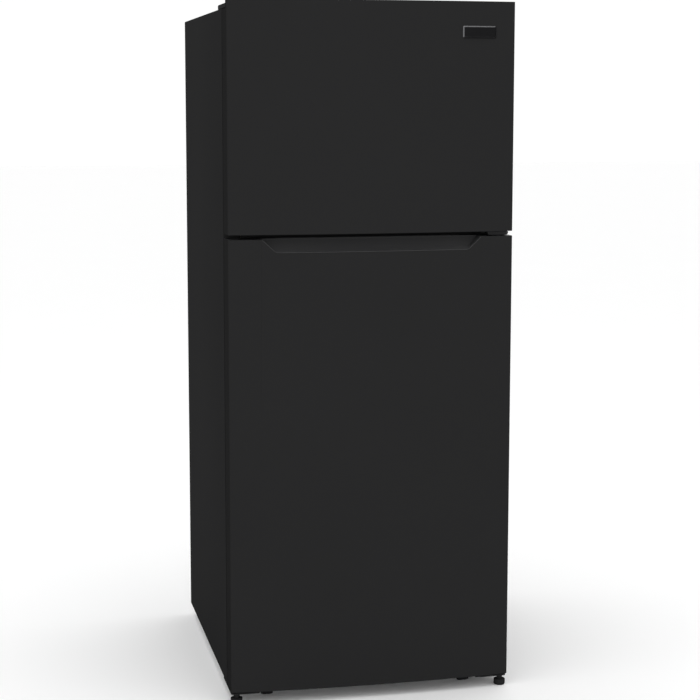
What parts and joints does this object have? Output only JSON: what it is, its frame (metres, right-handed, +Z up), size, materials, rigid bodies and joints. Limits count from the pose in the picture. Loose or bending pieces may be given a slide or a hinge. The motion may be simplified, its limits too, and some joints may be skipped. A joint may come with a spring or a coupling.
{
  "type": "top freezer refrigerator",
  "caption": "Upright black top freezer refrigerator with right-hinged bowed doors, a scooped hand recess between them, fitted interior, rollers and levelling feet.",
  "frame": {"origin": "on the floor, under the middle of the object's box", "axes": "+Z up, -Y out of the front, +X to the right seen from the front (the hinge side)"},
  "size_m": [0.6, 0.675, 1.4535],
  "materials": {
    "black_enamel": "fine-textured black enamel, low sheen",
    "black_plastic": "moulded black plastic",
    "zinc_steel": "zinc-coated sheet steel",
    "foam": "rigid insulating foam",
    "white_liner": "thermoformed white plastic sheet",
    "white_plastic": "moulded white plastic",
    "clear_plastic": "clear moulded plastic",
    "glass": "tempered glass",
    "seal_rubber": "soft dark grey seal",
    "copper": "drawn copper, slightly dull",
    "aluminium": "bare aluminium fins",
    "badge_metal": "blank dark metal plate with a bright bevel"
  },
  "bodies": {
    "cabinet": {"back_panel": "zinc_steel", "base_pan": "zinc_steel", "bottom_hinge": "black_enamel", "cabinet_shell": "black_enamel", "compressor": "black_enamel", "compressor_terminal_cover": "black_plastic", "control_housing": "white_plastic", "cord_gland": "black_plastic", "crisper_cover": "glass", "discharge_tube": "copper", "drip_tray": "black_plastic", "evaporator": "aluminium", "evaporator_cover": "white_plastic", "fan_motor": "black_plastic", "filter_dryer": "copper", "freezer_liner": "white_liner", "freezer_shelf": "white_plastic", "fridge_liner": "white_liner", "fridge_shelf_lower": "glass", "fridge_shelf_upper": "glass", "insulation": "foam", "lamp_lens": "clear_plastic", "left_foot_bracket": "black_enamel", "left_top_cover": "black_plastic", "middle_hinge": "black_enamel", "mullion_cover": "black_enamel", "roller_front_left_axle": "zinc_steel", "roller_front_right_axle": "zinc_steel", "roller_rear_left_axle": "zinc_steel", "roller_rear_right_axle": "zinc_steel", "top_hinge": "zinc_steel", "top_hinge_cover": "black_plastic"},
    "freezer_door": {"freezer_door_bin_lower": "clear_plastic", "freezer_door_bin_upper": "clear_plastic", "freezer_door_bottom_cap": "black_plastic", "freezer_door_foam": "foam", "freezer_door_gasket": "seal_rubber", "freezer_door_liner": "white_liner", "freezer_door_panel": "black_enamel", "freezer_door_top_cap": "black_plastic", "badge_plate": "badge_metal"},
    "fridge_door": {"fridge_door_bin_lower": "clear_plastic", "fridge_door_bin_middle": "clear_plastic", "fridge_door_bin_upper": "clear_plastic", "fridge_door_bottom_cap": "black_plastic", "fridge_door_foam": "foam", "fridge_door_gasket": "seal_rubber", "fridge_door_liner": "white_liner", "fridge_door_panel": "black_enamel", "fridge_door_top_cap": "black_plastic"},
    "crisper_drawer": {"crisper_drawer": "clear_plastic"},
    "temperature_knob": {"temperature_knob": "white_plastic"},
    "freezer_control": {"freezer_control": "white_plastic"},
    "fan": {"fan": "black_plastic"},
    "foot_left": {"foot_left": "black_plastic"},
    "foot_right": {"foot_right": "black_plastic"},
    "roller_front_left": {"roller_front_left": "black_plastic"},
    "roller_front_right": {"roller_front_right": "black_plastic"},
    "roller_rear_left": {"roller_rear_left": "black_plastic"},
    "roller_rear_right": {"roller_rear_right": "black_plastic"}
  },
  "joints": [
    {"name": "freezer_door_hinge", "type": "hinge", "parent": "cabinet", "child": "freezer_door", "pos_m": [0.286, -0.2977, 0.9824], "axis": [0, 0, 1], "range_deg": [0, 120]},
    {"name": "fridge_door_hinge", "type": "hinge", "parent": "cabinet", "child": "fridge_door", "pos_m": [0.286, -0.2977, 0.0265], "axis": [0, 0, 1], "range_deg": [0, 120]},
    {"name": "crisper_drawer_slide", "type": "slide", "parent": "cabinet", "child": "crisper_drawer", "axis": [0, -1, 0], "range_m": [0, 0.05]},
    {"name": "temperature_knob_turn", "type": "hinge", "parent": "cabinet", "child": "temperature_knob", "pos_m": [-0.055, -0.185, 0.922], "axis": [0, -1, 0], "range_deg": [0, 270]},
    {"name": "freezer_control_slide", "type": "slide", "parent": "cabinet", "child": "freezer_control", "axis": [1, 0, 0], "range_m": [-0.02, 0.02]},
    {"name": "fan_spin", "type": "hinge", "parent": "cabinet", "child": "fan", "pos_m": [0, 0.232, 1.31], "axis": [0, 1, 0], "continuous": true},
    {"name": "foot_left_screw", "type": "slide", "parent": "cabinet", "child": "foot_left", "axis": [0, 0, -1], "range_m": [0, 0.006]},
    {"name": "foot_right_screw", "type": "slide", "parent": "cabinet", "child": "foot_right", "axis": [0, 0, -1], "range_m": [0, 0.006]},
    {"name": "roller_front_left_spin", "type": "hinge", "parent": "cabinet", "child": "roller_front_left", "pos_m": [-0.216, -0.2702, 0.012], "axis": [1, 0, 0], "continuous": true},
    {"name": "roller_front_right_spin", "type": "hinge", "parent": "cabinet", "child": "roller_front_right", "pos_m": [0.216, -0.2702, 0.012], "axis": [1, 0, 0], "continuous": true},
    {"name": "roller_rear_left_spin", "type": "hinge", "parent": "cabinet", "child": "roller_rear_left", "pos_m": [-0.245, 0.3, 0.012], "axis": [1, 0, 0], "continuous": true},
    {"name": "roller_rear_right_spin", "type": "hinge", "parent": "cabinet", "child": "roller_rear_right", "pos_m": [0.245, 0.3, 0.012], "axis": [1, 0, 0], "continuous": true}
  ]
}
